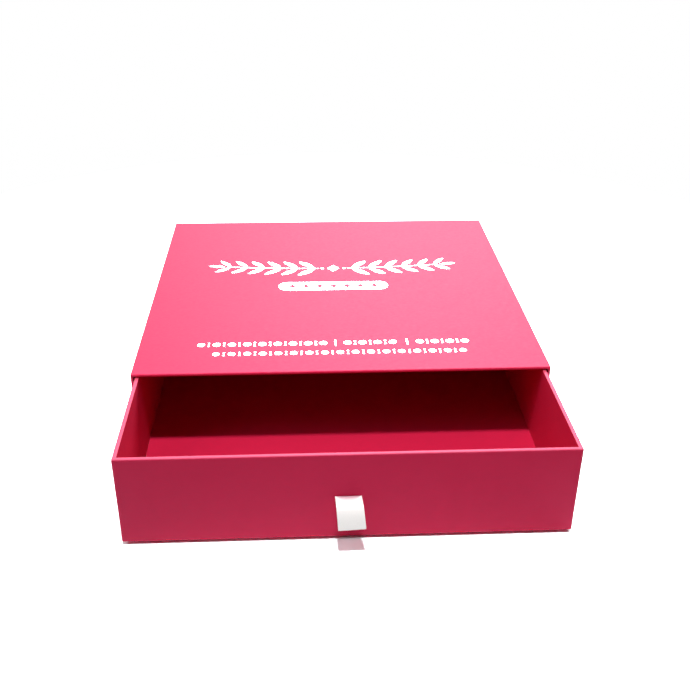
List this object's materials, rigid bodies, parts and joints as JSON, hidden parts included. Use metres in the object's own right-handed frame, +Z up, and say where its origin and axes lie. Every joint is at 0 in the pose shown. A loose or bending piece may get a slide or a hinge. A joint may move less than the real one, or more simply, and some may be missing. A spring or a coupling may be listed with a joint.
{
  "type": "sliding drawer gift box",
  "caption": "Rigid paper-wrapped gift box: a low case, open at the front, holds a slide-out tray that is drawn by a folded satin ribbon tab.",
  "frame": {"origin": "centre of the case's underside, on the table", "axes": "+X to the right seen from the front, +Y from the open mouth to the back, +Z up; the tray is drawn out towards -Y"},
  "size_m": [0.25, 0.3368, 0.0585],
  "materials": {
    "wrap_paper": "fuchsia wrapping paper, fine fibrous grain, soft sheen",
    "grey_board": "plain grey recycled board, matt",
    "stay_paper": "thin brown kraft tape, matt",
    "ribbon_satin": "white satin ribbon with woven edges",
    "foil": "silver-white hot foil on the paper"
  },
  "bodies": {
    "sleeve": {"sleeve_wrap": "wrap_paper", "sleeve_base_cover": "wrap_paper", "sleeve_back_cover": "wrap_paper", "sleeve_lining": "wrap_paper", "sleeve_top_board": "grey_board", "sleeve_bottom_board": "grey_board", "sleeve_left_board": "grey_board", "sleeve_right_board": "grey_board", "sleeve_back_board": "grey_board", "sleeve_edge_stays": "stay_paper", "sleeve_back_stays": "stay_paper"},
    "tray": {"tray_wrap": "wrap_paper", "tray_floor_liner": "wrap_paper", "tray_base_board": "grey_board", "tray_front_board": "grey_board", "tray_back_board": "grey_board", "tray_left_board": "grey_board", "tray_right_board": "grey_board", "tray_corner_stays": "stay_paper", "pull_ribbon_tails": "ribbon_satin", "ribbon_anchor_tape": "stay_paper"},
    "ribbon": {"pull_ribbon_loop": "ribbon_satin"}
  },
  "joints": [
    {"name": "tray_slide", "type": "slide", "parent": "sleeve", "child": "tray", "axis": [0, -1, 0], "range_m": [-0.0812, 0.1588]},
    {"name": "ribbon_flex", "type": "hinge", "parent": "tray", "child": "ribbon", "pos_m": [0, -0.20245, 0.02907], "axis": [-1, 0, 0], "range_deg": [-38, 50], "stiffness_Nm_per_rad": 0.0003}
  ]
}
